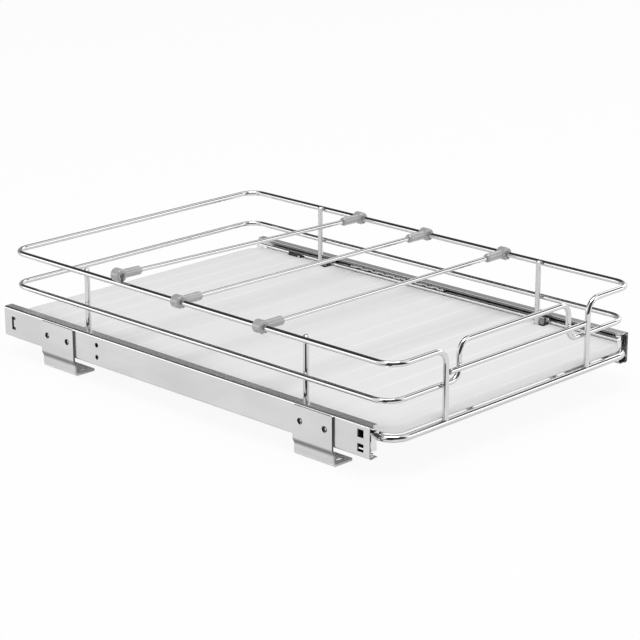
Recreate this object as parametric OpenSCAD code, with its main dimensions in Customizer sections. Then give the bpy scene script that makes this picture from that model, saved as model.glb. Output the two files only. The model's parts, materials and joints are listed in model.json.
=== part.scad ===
// Pull-out wire tray for a kitchen cabinet.
// The tray runs on two telescopic ball rails that stand on four brackets.
// Millimetres. X is the width, the tray is pulled out towards -Y, and Z is up.
// The origin is on the cabinet floor, under the middle of the tray.

/* [Rails] */
// Length of each telescopic rail
rail_length = 508; // [440:1:540]
// Height of a rail's outer member
rail_height = 31; // [29:0.5:38]
// Thickness of a closed rail, from its outer face to its inner face
rail_thickness = 12.7; // [12.3:0.1:16]
// Distance between the outer faces of the two rails
rail_spread = 370; // [300:1:480]
// How far the middle of the rails lies behind the middle of the tray
rail_setback = 5.5; // [0:0.5:12]
// Sheet thickness of the outer member and of the inner member
member_sheet = 1; // [0.8:0.05:1.2]
// Sheet thickness of the intermediate member
middle_sheet = 0.9; // [0.7:0.05:1.1]
// Inside radius of the folds in the intermediate and in the inner member
member_fold = 0.5; // [0.3:0.1:0.8]
// Inside radius of the folds in the outer member
outer_fold = 1.1; // [0.6:0.1:1.4]
// How far the front end of an inner member lies behind the front end of its rail
inner_setback = 3.5; // [1:0.5:8]
// Height of the end tab that closes the front of an inner member
end_tab_height = 17.5; // [10:0.5:19]
// Gap between an end tab and the intermediate member behind it
end_tab_gap = 0.3; // [0.2:0.05:0.6]

/* [Ball cages] */
// Diameter of the balls between the outer and the intermediate member
outer_ball = 2.8; // [2.4:0.1:3.2]
// Diameter of the balls between the intermediate and the inner member
inner_ball = 2.6; // [2.2:0.1:3]
// Width of the race that the outer balls run in
outer_race = 4.8; // [4.6:0.1:5.4]
// Distance from one ball to the next in a row
ball_pitch = 15.6; // [10:0.1:24]
// Balls in each row of an outer cage
outer_row = 14; // [6:1:15]
// Balls in each row of an inner cage
inner_row = 9; // [5:1:12]
// Middle of the inner cages, in front of (-) or behind the middle of the rails
inner_cage_y = 42.5; // [0:0.5:60]
// Sheet thickness of the cages
cage_sheet = 0.4; // [0.3:0.05:0.5]
// Gap between a cage and the members beside it
cage_gap = 0.35; // [0.25:0.05:0.45]
// Length of a cage beyond the last ball of its row
cage_end = 4; // [3:0.5:6]
// Play of a ball between its two races, on each side
ball_play = 0.1; // [0.05:0.01:0.15]

/* [Rail holes] */
// Side of the square holes near the front of an outer member
square_hole = 7.5; // [5:0.1:9]
// Distance from the front end of the rail to the square holes
square_hole_y = 11; // [8:0.5:20]
// Height between the two square holes
square_hole_rise = 13.3; // [11:0.1:16]
// Diameter of the small round holes behind the middle of an outer member
round_hole = 4.8; // [2.5:0.1:5]
// Distance from the back end of the rail to the small round holes
round_hole_y = 144; // [120:1:160]
// Height between the two small round holes
round_hole_rise = 12.5; // [8:0.1:16]
// Distance from the back end of the rail to the lanced stop
lance_y = 13; // [10:0.5:20]
// Height of the lanced stop
lance_height = 13.6; // [10:0.1:18]
// Width of the cut round the lanced stop
lance_cut = 3; // [1:0.1:3.5]
// How far that cut runs on above and below the stop
lance_arm = 4.2; // [3.5:0.1:6]
// How much wider the holes in the intermediate member are than those in front of them
access_margin = 1; // [0.5:0.1:1.2]

/* [Brackets] */
// Height of the rails' undersides above the cabinet floor
rail_lift = 18.7; // [16:0.1:40]
// Length of a bracket along the rail
bracket_length = 49; // [40:0.5:70]
// Sheet thickness of the brackets
bracket_sheet = 2; // [1.5:0.1:2.5]
// Middle of the front brackets, in front of the middle of the rails
front_bracket_y = 186; // [150:0.5:210]
// Middle of the back brackets, behind the middle of the rails
back_bracket_y = 168.5; // [140:0.5:200]
// Gap from the top of a bracket to the top of the rail
bracket_top_gap = 1.5; // [0:0.1:5]
// How far the lower part of a bracket steps in under the rail
bracket_step = 2; // [1.5:0.1:4]
// Height that the step takes
bracket_step_rise = 4; // [3.5:0.1:4.5]
// Inside radius of the two folds of the step
bracket_step_fold = 3; // [1:0.5:4]
// Radius of the corners at the top of a bracket and at the end of its foot
bracket_corner = 2; // [1:0.5:4]
// Width of a foot, from the bracket's lower outer face towards the tray
foot_width = 25.5; // [23:0.1:35]
// Distance between the two screws of a bracket, and between its two slots
bracket_pitch = 30.5; // [20:0.5:34]
// Width of the slots in a foot
slot_width = 5.2; // [4:0.1:6]
// Length of the slots in a foot
slot_length = 11; // [8:0.5:14]
// Distance from a slot's middle to the lower outer face of its bracket
slot_in = 16.5; // [13:0.1:17]
// Diameter of a rail screw
rail_screw = 5.4; // [4:0.1:5.6]
// Diameter of a rail screw's flat head
rail_screw_head = 7.2; // [6.6:0.1:9]
// Height of a rail screw's flat head
rail_screw_head_height = 0.8; // [0.5:0.05:0.8]
// Gap between a rail screw and the hole in the bracket
screw_gap = 0.5; // [0.1:0.05:0.6]
// Clearance round a screw or a rivet in a hole through a member or a plate
hole_clearance = 0.1; // [0.05:0.05:0.2]
// How far a rail screw's tip stays below the bracket's face
screw_tip_depth = 1.4; // [0.3:0.1:1.6]

/* [Tray wires] */
// Length of the tray over its base wire
tray_depth = 530.5; // [480:0.5:600]
// Gap between a side of the tray and the rail beside it
tray_side_gap = 0.2; // [0.1:0.05:0.5]
// Diameter of the top wire
top_wire_d = 5.5; // [4:0.1:7]
// Diameter of the middle wire and of the front bar
middle_wire_d = 5.2; // [4:0.1:7]
// Diameter of the base wire
base_wire_d = 6.5; // [5:0.1:8]
// Diameter of the side posts
post_d = 5.4; // [4:0.1:7]
// Radius of the tray's corners, to the middle of the wire
corner_radius = 18; // [14:0.5:30]
// Height of the base wire above the rail's underside
base_rise = 16.2; // [14:0.1:17]
// Height from the base wire to the middle wire
middle_rise = 33.9; // [28:0.1:45]
// Height from the middle wire to the top wire
top_rise = 34.9; // [28:0.1:50]
// Distance of the side posts from the middle of the tray
post_y = 151.3; // [120:0.1:180]
// Height of the side posts above the top wire's middle
post_over = 3; // [2:0.1:5]
// Chamfer round the top of a side post
post_chamfer = 0.7; // [0.3:0.1:1.2]
// How deep two welded wires sink into each other
weld_bite = 0.4; // [0.2:0.05:0.6]

/* [Tray front] */
// Distance of the front posts from the tray's middle line
front_post_x = 101.2; // [92:0.1:130]
// Radius of the bend from the top wire into a front post
front_post_bend = 14; // [10:0.5:20]
// Distance of the handle's legs from the tray's middle line
handle_x = 78; // [50:0.5:82]
// Radius of the bends at the top of the handle
handle_bend = 12; // [9:0.5:14]
// Radius of the bends at the foot of the handle's legs
handle_foot_bend = 11; // [9:0.5:12]
// Height of the handle above the top wire
handle_over = 0.5; // [-3:0.1:6]
// Height of the front bar above the middle wire
bar_rise = 12.2; // [10:0.1:16]
// Gap between an end of the front bar and the front post
bar_end_gap = 2.3; // [1:0.1:5]

/* [Tray floor] */
// Diameter of the floor wires
floor_wire_d = 2.8; // [2.2:0.1:4]
// Distance from one floor wire to the next
floor_pitch = 25.4; // [20:0.1:40]
// Gap between the ends of the floor wires and the release levers
floor_end_gap = 0.3; // [0.2:0.05:0.6]
// Gap that the floor wires keep from the side posts and their fixing plates
floor_post_gap = 1; // [0.5:0.1:2]
// Diameter of the two runners under the floor wires
runner_d = 4.5; // [3.5:0.1:5]
// Distance of the runners from the tray's middle line
runner_x = 60; // [30:1:110]
// Thickness of the floor sheet
liner_sheet = 0.8; // [0.6:0.1:1.5]
// Gap between a side of the floor sheet and the rail beside it
liner_side_gap = 1.3; // [0.5:0.1:3]
// Gap between the floor sheet and what stands in its cut-outs
liner_cut_gap = 0.4; // [0.3:0.1:1]
// Gap between the floor sheet and the front posts
liner_front_gap = 0.4; // [0.3:0.1:2]
// Gap between the floor sheet and the back wire
liner_back_gap = 2.7; // [0.5:0.1:10]
// How far the front edge of the floor sheet bends down towards the front wire
liner_drop = 2; // [0.5:0.1:2]
// Inside radius of that bend
liner_bend = 6; // [3:0.5:8]
// Radius of the floor sheet's corners
liner_corner = 20; // [18:0.5:30]

/* [Tray fixings] */
// Length of a fixing plate along the rail
plate_length = 12; // [10:0.5:16]
// Height of a fixing plate above the base wire
plate_height = 9; // [8:0.1:12]
// Thickness of a fixing plate
plate_sheet = 1.5; // [1:0.1:2]
// How far a fixing plate reaches behind its post
plate_behind = 2; // [1:0.5:4]
// Distance from a side post to its fixing screw
fixing_screw_y = 6.5; // [5.8:0.1:7.4]
// Diameter of a fixing screw's head
fixing_head = 4.4; // [3.8:0.1:6]
// Height of a fixing screw's head
fixing_head_height = 2; // [1.2:0.1:2.4]
// How much narrower a fixing screw's head is at its top
fixing_head_taper = 0.8; // [0.4:0.1:1.2]
// Diameter of a fixing screw's shank
fixing_shank = 3; // [2:0.1:3.4]
// Gap between a fixing screw's head and the base wire
fixing_rise = 1.1; // [0.3:0.1:1.2]
// How far a fixing screw's tip stands out inside the inner member
fixing_tip = 1; // [0.5:0.1:2]

/* [Release levers] */
// Length of a release lever
lever_length = 20; // [16:0.5:26]
// Height of a release lever
lever_height = 6; // [4.5:0.1:6.4]
// Thickness of a release lever
lever_thick = 2.6; // [1.8:0.1:3.5]
// Thickness of a release lever's tail
lever_tail = 1.8; // [1.2:0.1:1.8]
// Distance from the back end of the rail to the middle of a lever
lever_y = 63; // [40:0.5:90]
// Diameter of the rivet that a lever turns on
rivet_d = 2.4; // [1.8:0.1:3]
// Clearance between the rivet and the lever
rivet_clearance = 0.1; // [0.05:0.01:0.15]
// Diameter of the rivet's heads
rivet_head = 3.8; // [3.4:0.1:4.6]
// Height of the rivet's heads
rivet_head_height = 0.6; // [0.4:0.1:0.8]
// Gap between a lever and the rail behind it
lever_gap = 0.3; // [0.2:0.05:0.5]

/* [Dividers] */
// Diameter of the divider rods
rod_d = 4.5; // [3.5:0.1:5.5]
// Where the left end of each divider lies along the tray, back one first
divider_left_y = [97.5, 12, -98.5]; // [-130:0.5:130]
// Where the right end of each divider lies along the tray, back one first
divider_right_y = [97.5, 3, -102]; // [-130:0.5:130]
// Outer diameter of a clip's ring
clip_d = 13; // [11:0.1:15]
// Length of a clip's ring along the top wire
clip_length = 11; // [8:0.5:13]
// Clearance between a clip's ring and the top wire
clip_clearance = 0.3; // [0.2:0.05:0.4]
// Width of the mouth that snaps over the top wire
clip_mouth = 3.8; // [3:0.1:4.6]
// Radius of the rounded rims of a clip's ring
clip_rim = 1.4; // [0.8:0.1:2]
// Outer diameter of a clip's sleeve
sleeve_d = 9; // [7.5:0.1:11]
// Reach of a sleeve from the middle of the top wire
sleeve_reach = 27; // [20:0.5:40]
// Clearance between a rod and its sleeve, all round
rod_clearance = 0.05; // [0.02:0.01:0.1]
// Gap between the lips of the lifted clip and the wire that they rest on
lip_gap = 0.3; // [0.2:0.05:0.5]

/* [Hidden] */
$fn = 48;
fold_steps = 8;
LEFT = -1;
RIGHT = 1;

// A rail's cross-section is written as [depth from its outer face, height from its underside].
rail_middle = rail_height / 2;
outer_ball_depth = member_sheet + outer_race / 2;
outer_ball_height = rail_height - member_sheet - ball_play - outer_ball / 2;
outer_cage_depth = member_sheet + cage_gap;
middle_web_depth = outer_cage_depth + cage_sheet + cage_gap;
middle_low_top = rail_height - member_sheet - 2 * ball_play - outer_ball;
middle_step_depth = member_sheet + outer_race;
middle_high_top = rail_height - member_sheet - cage_gap;
inner_cage_depth = middle_step_depth + middle_sheet + cage_gap;
inner_ball_depth = inner_cage_depth + cage_sheet + cage_gap + inner_ball / 2;
inner_ball_height = middle_high_top - middle_sheet - ball_play - inner_ball / 2;
middle_rim_depth = inner_ball_depth + inner_ball / 2;
inner_top = inner_ball_height - inner_ball / 2 - ball_play;
inner_flange_depth = inner_cage_depth + cage_sheet + cage_gap;
cage_rim_depth = middle_rim_depth + cage_gap;
cage_rim_height = inner_ball + 2 * ball_play - 2 * cage_gap;
cage_rim_notch = cage_rim_height / 2;

// Places along the rails
rail_front = rail_setback - rail_length / 2;
rail_back = rail_setback + rail_length / 2;
rail_inner_face = rail_spread / 2 - rail_thickness;
inner_front = rail_front + inner_setback;
middle_front = inner_front + member_sheet + end_tab_gap;
bracket_ys = [rail_setback - front_bracket_y, rail_setback + back_bracket_y];
slot_x = rail_spread / 2 - bracket_step + bracket_sheet - slot_in;

// Places of the tray's wires
front_y = -tray_depth / 2 + base_wire_d / 2;
back_y = tray_depth / 2 - base_wire_d / 2;
base_z = rail_lift + base_rise;
middle_z = base_z + middle_rise;
top_z = middle_z + top_rise;
base_x = rail_inner_face - tray_side_gap - base_wire_d / 2;
middle_x = rail_inner_face - tray_side_gap - middle_wire_d / 2;
top_x = rail_inner_face - tray_side_gap - top_wire_d / 2;
post_x = top_x - (top_wire_d + post_d) / 2 + weld_bite;
middle_front_y = front_y + (top_wire_d + middle_wire_d) / 2 - weld_bite;
bar_y = middle_front_y - middle_wire_d + weld_bite;
bar_end = front_post_x - top_wire_d / 2 - bar_end_gap;
base_top = base_z + base_wire_d / 2;
floor_z = base_top + floor_wire_d / 2 - weld_bite;
floor_end = rail_inner_face - lever_gap - lever_thick - floor_end_gap;
floor_count = floor((back_y - front_y - base_wire_d) / floor_pitch);
floor_ys = [
    for (i = [1 : floor_count], y = [back_y - i * floor_pitch])
    if (beside_plates(y, -post_y) && beside_plates(y, post_y)) y
];
function beside_plates(y, post) =
    y > post + plate_behind + floor_post_gap + floor_wire_d / 2
    || y < post + plate_behind - plate_length - floor_post_gap - floor_wire_d / 2;
fixing_z = base_top + fixing_head / 2 + fixing_rise;
runner_z = floor_z - (floor_wire_d + runner_d) / 2 + weld_bite;
sheet_z = floor_z + floor_wire_d / 2;
liner_side = rail_inner_face - liner_side_gap;

// Places of the release levers and of the dividers
lever_mid_y = rail_back - lever_y;
lever_z = base_top + lever_gap + lever_height / 2;
lever_pivot_y = lever_mid_y - lever_length / 2 + lever_height / 2;
clip_bore = top_wire_d + 2 * clip_clearance;
clip_wall = (clip_d - clip_bore) / 2;
lip_drop = sqrt(pow(clip_d / 2, 2) - pow(clip_mouth / 2, 2));
wire_rise = sqrt(pow(top_wire_d / 2, 2) - pow(clip_mouth / 2, 2));
clip_lift = lip_drop + wire_rise + lip_gap;
divider_lift = [clip_lift, 0, 0];
rod_stop = clip_bore / 2 + clip_wall / 2;

// Finish colours
zinc = [0.76, 0.77, 0.78];
bright_zinc = [0.86, 0.87, 0.88];
chrome = [0.9, 0.91, 0.92];
cage_steel = [0.62, 0.63, 0.65];
ball_steel = [0.8, 0.8, 0.82];
dark_steel = [0.35, 0.35, 0.37];
black_plastic = [0.09, 0.09, 0.1];
grey_plastic = [0.68, 0.68, 0.69];
frosted_sheet = [0.88, 0.88, 0.88];

// Directions and corners of a path, in two or in three dimensions
function unit(v) = v / norm(v);
function heading(path, i) = unit(path[(i + 1) % len(path)] - path[i]);
function previous(path, i) = (i + len(path) - 1) % len(path);
function turn(path, i) = acos(heading(path, previous(path, i)) * heading(path, i));
function sideways(a, b) = unit(b - (a * b) * a);
function is_corner(path, i, closed) = closed || (i > 0 && i < len(path) - 1);
function cut_back(path, i, radius, closed) =
    is_corner(path, i, closed) ? radius * tan(turn(path, i) / 2) : 0;
function bend_centre(path, i, radius) =
    let (a = heading(path, previous(path, i)), b = heading(path, i))
    path[i] - cut_back(path, i, radius, true) * a + radius * sideways(a, b);

// Flat outline of a sheet with square folds: path runs along the middle of the sheet,
// and fold is the inside radius of its folds.
module folded_sheet(path, sheet, fold) {
    radius = fold + sheet / 2;
    for (i = [0 : len(path) - 2]) {
        a = heading(path, i);
        side = [-a.y, a.x] * sheet / 2;
        start = path[i] + cut_back(path, i, radius, false) * a;
        end = path[i + 1] - cut_back(path, i + 1, radius, false) * a;
        polygon([start - side, end - side, end + side, start + side]);
    }
    for (i = [1 : len(path) - 2]) fold_corner(path, i, sheet, radius);
}

module fold_corner(path, i, sheet, radius) {
    a = heading(path, i - 1);
    b = heading(path, i);
    centre = bend_centre(path, i, radius);
    first = -sideways(a, b);
    last = sideways(b, a);
    reach = 2 * (radius + sheet);
    translate(centre) intersection() {
        difference() {
            circle(r = radius + sheet / 2);
            circle(r = radius - sheet / 2);
        }
        polygon([[0, 0], reach * first, reach * (first + last), reach * last]);
    }
}

// Points of one edge of a sheet at corner i of its path, offset to the left of its middle
function left_of(a) = [-a.y, a.x];
function edge_points(path, i, radius, offset) =
    i == 0 ? [path[0] + offset * left_of(heading(path, 0))] :
    i == len(path) - 1 ? [path[i] + offset * left_of(heading(path, i - 1))] :
    let (a = heading(path, i - 1), b = heading(path, i), angle = turn(path, i),
         arc = radius - sign(left_of(a) * b) * offset)
    [for (k = [0 : fold_steps]) bend_centre(path, i, radius) + arc / sin(angle)
        * (sin(angle * k / fold_steps) * sideways(b, a)
            - sin(angle * (1 - k / fold_steps)) * sideways(a, b))];
function sheet_edge(path, folds, sheet, offset) =
    [for (i = [0 : len(path) - 1], point = edge_points(path, i, folds[i] + sheet / 2, offset)) point];

// Flat outline of a sheet with folds of any angle: folds has one inside radius for each corner
module stepped_sheet(path, sheet, folds) {
    near = sheet_edge(path, folds, sheet, sheet / 2);
    far = sheet_edge(path, folds, sheet, -sheet / 2);
    polygon(concat(near, [for (i = [len(far) - 1 : -1 : 0]) far[i]]));
}

// Round wire along a path with rounded corners
module wire(path, bends, d, closed = false) {
    count = len(path);
    for (i = [0 : count - (closed ? 1 : 2)]) {
        j = (i + 1) % count;
        a = heading(path, i);
        start = path[i] + cut_back(path, i, bends[i], closed) * a;
        end = path[j] - cut_back(path, j, bends[j], closed) * a;
        straight_wire(start, end, d);
    }
    for (i = [0 : count - 1])
        if (is_corner(path, i, closed)) bent_wire(path, i, bends[i], d);
}

module straight_wire(start, end, d) {
    z = unit(end - start);
    x = unit(cross(z, abs(z.z) > 0.9 ? [1, 0, 0] : [0, 0, 1]));
    y = cross(z, x);
    multmatrix([for (k = [0 : 2]) [x[k], y[k], z[k], start[k]]])
        cylinder(d = d, h = norm(end - start));
}

module bent_wire(path, i, radius, d) {
    y = heading(path, previous(path, i));
    x = -sideways(y, heading(path, i));
    z = cross(x, y);
    centre = bend_centre(path, i, radius);
    multmatrix([for (k = [0 : 2]) [x[k], y[k], z[k], centre[k]]])
        rotate_extrude(angle = turn(path, i), $fn = 64) translate([radius, 0]) circle(d = d);
}

// Stands a rail outline up along Y, with its depths counted from the outer face of the rail
module along_rail(side, from, to) {
    translate([side * rail_spread / 2, to, rail_lift])
        mirror([side > 0 ? 1 : 0, 0, 0])
            rotate([90, 0, 0]) linear_extrude(to - from) children();
}

// A hole through the outer member's web, seen from the side of the rail
module web_hole(side, y, height) {
    translate([side * (rail_spread / 2 - member_sheet / 2), y, rail_lift + height])
        rotate([0, 90, 0]) children();
}

module outer_member(side) {
    half = member_sheet / 2;
    flange_end = middle_rim_depth - cage_gap;
    color(zinc) difference() {
        along_rail(side, rail_front, rail_back)
            folded_sheet([
                [flange_end, half], [half, half],
                [half, rail_height - half], [flange_end, rail_height - half]
            ], member_sheet, outer_fold);
        for (y = bracket_ys, step = [-0.5, 0.5])
            rail_screw_shape(side, y + step * bracket_pitch, hole_clearance);
        for (way = [-0.5, 0.5]) {
            web_hole(side, rail_front + square_hole_y, rail_middle + way * square_hole_rise)
                cube([square_hole, square_hole, 2 * member_sheet], center = true);
            web_hole(side, rail_back - round_hole_y, rail_middle + way * round_hole_rise)
                cylinder(d = round_hole, h = 2 * member_sheet, center = true);
        }
        lanced_stop(side);
    }
}

// Three-sided cut round the stop near the back end of an outer member
module lanced_stop(side) {
    arm_y = rail_back - lance_y - lance_arm / 2;
    web_hole(side, rail_back - lance_y, rail_middle)
        cube([lance_height, lance_cut, 2 * member_sheet], center = true);
    for (way = [-0.5, 0.5])
        web_hole(side, arm_y, rail_middle + way * (lance_height - lance_cut))
            cube([lance_cut, lance_arm, 2 * member_sheet], center = true);
}

module intermediate_member(side) {
    half = middle_sheet / 2;
    upper = [
        [middle_rim_depth, middle_high_top - half],
        [middle_step_depth + half, middle_high_top - half],
        [middle_step_depth + half, middle_low_top - half],
        [middle_web_depth + half, middle_low_top - half]
    ];
    lower = [for (i = [3 : -1 : 0]) [upper[i].x, rail_height - upper[i].y]];
    wide_square = square_hole + 2 * access_margin;
    notch = lance_y + lance_arm + access_margin;
    color(zinc) difference() {
        along_rail(side, middle_front, rail_back)
            folded_sheet(concat(upper, lower), middle_sheet, member_fold);
        for (way = [-0.5, 0.5]) {
            middle_hole(side, rail_front + square_hole_y, rail_middle + way * square_hole_rise)
                cube([square_hole, wide_square, 2 * middle_sheet], center = true);
            middle_hole(side, rail_back - round_hole_y, rail_middle + way * round_hole_rise)
                cylinder(d = round_hole + access_margin, h = 2 * middle_sheet, center = true);
        }
        middle_hole(side, rail_back - notch / 2, rail_middle)
            cube([lance_height + access_margin, notch + access_margin, 2 * middle_sheet], center = true);
    }
}

// A hole through the intermediate member's web, behind one in the outer member
module middle_hole(side, y, height) {
    depth = middle_web_depth + middle_sheet / 2;
    translate([side * (rail_spread / 2 - depth), y, rail_lift + height])
        rotate([0, 90, 0]) children();
}

module inner_member(side) {
    half = member_sheet / 2;
    color(bright_zinc) difference() {
        union() {
            along_rail(side, inner_front, rail_back)
                folded_sheet([
                    [inner_flange_depth, rail_height - inner_top + half],
                    [rail_thickness - half, rail_height - inner_top + half],
                    [rail_thickness - half, inner_top - half],
                    [inner_flange_depth, inner_top - half]
                ], member_sheet, member_fold);
            along_rail(side, inner_front, inner_front + member_sheet)
                translate([middle_step_depth, rail_height - inner_top])
                    square([rail_thickness - middle_step_depth, end_tab_height]);
        }
        for (y = [-post_y, post_y])
            inner_face_hole(side, y - fixing_screw_y, fixing_z, fixing_shank);
        inner_face_hole(side, lever_pivot_y, lever_z, rivet_d);
    }
}

// A hole through the web of an inner member, for a screw or a rivet of the given diameter
module inner_face_hole(side, y, z, d) {
    translate([side * (rail_inner_face + member_sheet / 2), y, z]) rotate([0, 90, 0])
        cylinder(d = d + 2 * hole_clearance, h = 2 * member_sheet, center = true);
}

// Places of the balls of one row, along the rail
function ball_ys(middle, count) = [for (i = [0 : count - 1]) middle + (i - (count - 1) / 2) * ball_pitch];
outer_ball_ys = ball_ys(rail_setback, outer_row);
inner_ball_ys = ball_ys(rail_setback + inner_cage_y, inner_row);
function cage_front(ys) = ys[0] - cage_end;
function cage_back(ys) = ys[len(ys) - 1] + cage_end;

// Something at each ball of a cage's upper and lower row
module at_balls(side, depth, height, ys) {
    for (y = ys, z = [height, rail_height - height])
        translate([side * (rail_spread / 2 - depth), y, rail_lift + z]) children();
}

module outer_ball_cage(side) {
    half = cage_sheet / 2;
    arm_end = middle_step_depth - cage_gap;
    color(cage_steel) difference() {
        along_rail(side, cage_front(outer_ball_ys), cage_back(outer_ball_ys))
            folded_sheet([
                [arm_end, rail_height - outer_ball_height],
                [outer_cage_depth + half, rail_height - outer_ball_height],
                [outer_cage_depth + half, outer_ball_height],
                [arm_end, outer_ball_height]
            ], cage_sheet, cage_sheet / 2);
        at_balls(side, outer_ball_depth, outer_ball_height, outer_ball_ys)
            cylinder(d = outer_ball + 2 * ball_play, h = 3 * cage_sheet, center = true);
    }
}

module inner_ball_cage(side) {
    half = cage_sheet / 2;
    arm_end = cage_rim_depth + cage_sheet;
    color(cage_steel) difference() {
        union() {
            along_rail(side, cage_front(inner_ball_ys), cage_back(inner_ball_ys))
                folded_sheet([
                    [arm_end, rail_height - inner_ball_height],
                    [inner_cage_depth + half, rail_height - inner_ball_height],
                    [inner_cage_depth + half, inner_ball_height],
                    [arm_end, inner_ball_height]
                ], cage_sheet, cage_sheet / 2);
            cage_rims(side);
        }
        at_balls(side, inner_ball_depth, inner_ball_height, inner_ball_ys)
            cylinder(d = inner_ball + 2 * ball_play, h = 3 * cage_sheet, center = true);
    }
}

// The wavy rims that show in the gap between the outer and the inner member
module cage_rims(side) {
    notch = ball_pitch / 2 - 2 * cage_rim_notch;
    for (z = [inner_ball_height, rail_height - inner_ball_height])
        translate([side * (rail_spread / 2 - cage_rim_depth - cage_sheet / 2), 0, rail_lift + z])
            rotate([90, 0, side * 90]) linear_extrude(cage_sheet, center = true)
                scale([side, 1]) difference() {
                    translate([cage_front(inner_ball_ys), -cage_rim_height / 2])
                        square([cage_back(inner_ball_ys) - cage_front(inner_ball_ys), cage_rim_height]);
                    for (y = inner_ball_ys) {
                        translate([y - notch / 2, cage_sheet / 2]) square([notch, cage_rim_height]);
                        translate([y + ball_pitch / 2 - notch / 2, -cage_rim_height - cage_sheet / 2])
                            square([notch, cage_rim_height]);
                    }
                }
}

module outer_balls(side) {
    color(ball_steel) at_balls(side, outer_ball_depth, outer_ball_height, outer_ball_ys)
        sphere(d = outer_ball, $fn = 24);
}

module inner_balls(side) {
    color(ball_steel) at_balls(side, inner_ball_depth, inner_ball_height, inner_ball_ys)
        sphere(d = inner_ball, $fn = 24);
}

// A bracket: a plate beside the rail, a step in under it and a slotted foot on the cabinet floor
module bracket(side, y) {
    half = bracket_sheet / 2;
    plate = -half;
    lower = bracket_step - half;
    step_top = -bracket_step_rise + half;
    foot_top = -rail_lift + half;
    foot_end = bracket_step - bracket_sheet + foot_width;
    color(zinc) difference() {
        along_rail(side, y - bracket_length / 2, y + bracket_length / 2)
            stepped_sheet([
                [plate, rail_height - bracket_top_gap],
                [plate, step_top],
                [lower, step_top - bracket_step_rise],
                [lower, foot_top],
                [foot_end, foot_top]
            ], bracket_sheet, [0, bracket_step_fold, bracket_step_fold, half, 0]);
        for (step = [-0.5, 0.5]) {
            translate([side * (rail_spread / 2 + half), y + step * bracket_pitch,
                       rail_lift + rail_middle])
                rotate([0, 90, 0])
                    cylinder(d = rail_screw + 2 * screw_gap, h = 2 * bracket_sheet, center = true);
            foot_slot(side, y + step * bracket_pitch);
        }
        for (end = [-1, 1]) {
            translate([side * rail_spread / 2, y + end * bracket_length / 2,
                       rail_lift + rail_height - bracket_top_gap])
                rotate([0, -90, 0]) round_off(end, bracket_corner, 3 * bracket_sheet);
            translate([side * (rail_spread / 2 - foot_end), y + end * bracket_length / 2, 0])
                mirror([side > 0 ? 1 : 0, 0, 0]) round_off(end, bracket_corner, 3 * bracket_sheet);
        }
    }
}

// Cuts a corner round: the corner lies at the origin, and the sheet lies towards -X and -end * Y
module round_off(end, r, depth) {
    mirror([0, end > 0 ? 0 : 1, 0]) linear_extrude(depth, center = true)
        translate([-r, -r]) difference() {
            square(2 * r);
            circle(r = r);
        }
}

module foot_slot(side, y) {
    run = slot_length - slot_width;
    translate([side * slot_x, y, 0]) {
        cube([run, slot_width, 3 * bracket_sheet], center = true);
        for (end = [-0.5, 0.5])
            translate([end * run, 0, 0])
                cylinder(d = slot_width, h = 3 * bracket_sheet, center = true);
    }
}

// A flat-headed screw, put in from inside the rail; extra widens it for the hole that it sits in
module rail_screw_shape(side, y, extra) {
    translate([side * (rail_spread / 2 - member_sheet), y, rail_lift + rail_middle])
        rotate([0, side * 90, 0]) {
            translate([0, 0, -extra])
                cylinder(d1 = rail_screw_head + 2 * extra, d2 = rail_screw + 2 * extra,
                         h = rail_screw_head_height + extra);
            cylinder(d = rail_screw + 2 * extra, h = member_sheet + bracket_sheet - screw_tip_depth);
        }
}

module rail_screws() {
    color(dark_steel)
        for (side = [LEFT, RIGHT], y = bracket_ys, step = [-0.5, 0.5])
            rail_screw_shape(side, y + step * bracket_pitch, 0);
}

// A latch lever on the inner face of the inner member, turning on a rivet at its front end
module release_lever(side) {
    outline_r = lever_height / 2;
    inner = side * (rail_inner_face - lever_gap);
    color(black_plastic) translate([inner, lever_pivot_y, lever_z]) rotate([0, -side * 90, 0])
        difference() {
            union() {
                cylinder(r = outline_r, h = lever_thick);
                translate([-outline_r, 0, 0])
                    cube([lever_height, lever_length - lever_height, lever_thick]);
                translate([-outline_r, lever_length - lever_height, 0])
                    cube([lever_height, outline_r, lever_tail]);
            }
            translate([0, 0, -lever_thick])
                cylinder(d = rivet_d + 2 * rivet_clearance, h = 3 * lever_thick);
        }
}

module lever_rivets() {
    reach = member_sheet + lever_gap + lever_thick + rivet_clearance;
    color(bright_zinc) for (side = [LEFT, RIGHT])
        translate([side * (rail_inner_face + member_sheet), lever_pivot_y, lever_z])
            rotate([0, -side * 90, 0]) {
                cylinder(d = rivet_d, h = reach);
                for (z = [-rivet_head_height, reach])
                    translate([0, 0, z]) cylinder(d = rivet_head, h = rivet_head_height);
            }
}

// One open wire: along the front, round the tray, and down at both ends as the front posts
module top_wire() {
    foot = base_top - weld_bite;
    color(chrome) wire([
        [front_post_x, front_y, foot], [front_post_x, front_y, top_z],
        [top_x, front_y, top_z], [top_x, back_y, top_z],
        [-top_x, back_y, top_z], [-top_x, front_y, top_z],
        [-front_post_x, front_y, top_z], [-front_post_x, front_y, foot]
    ], [
        0, front_post_bend, corner_radius, corner_radius,
        corner_radius, corner_radius, front_post_bend, 0
    ], top_wire_d);
}

// One closed wire: the middle ring, raised at the front into the handle
module middle_wire() {
    handle_z = top_z + handle_over;
    y = middle_front_y;
    color(chrome) wire([
        [handle_x, y, handle_z], [handle_x, y, middle_z],
        [middle_x, y, middle_z], [middle_x, back_y, middle_z],
        [-middle_x, back_y, middle_z], [-middle_x, y, middle_z],
        [-handle_x, y, middle_z], [-handle_x, y, handle_z]
    ], [
        handle_bend, handle_foot_bend, corner_radius, corner_radius,
        corner_radius, corner_radius, handle_foot_bend, handle_bend
    ], middle_wire_d, closed = true);
}

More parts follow.
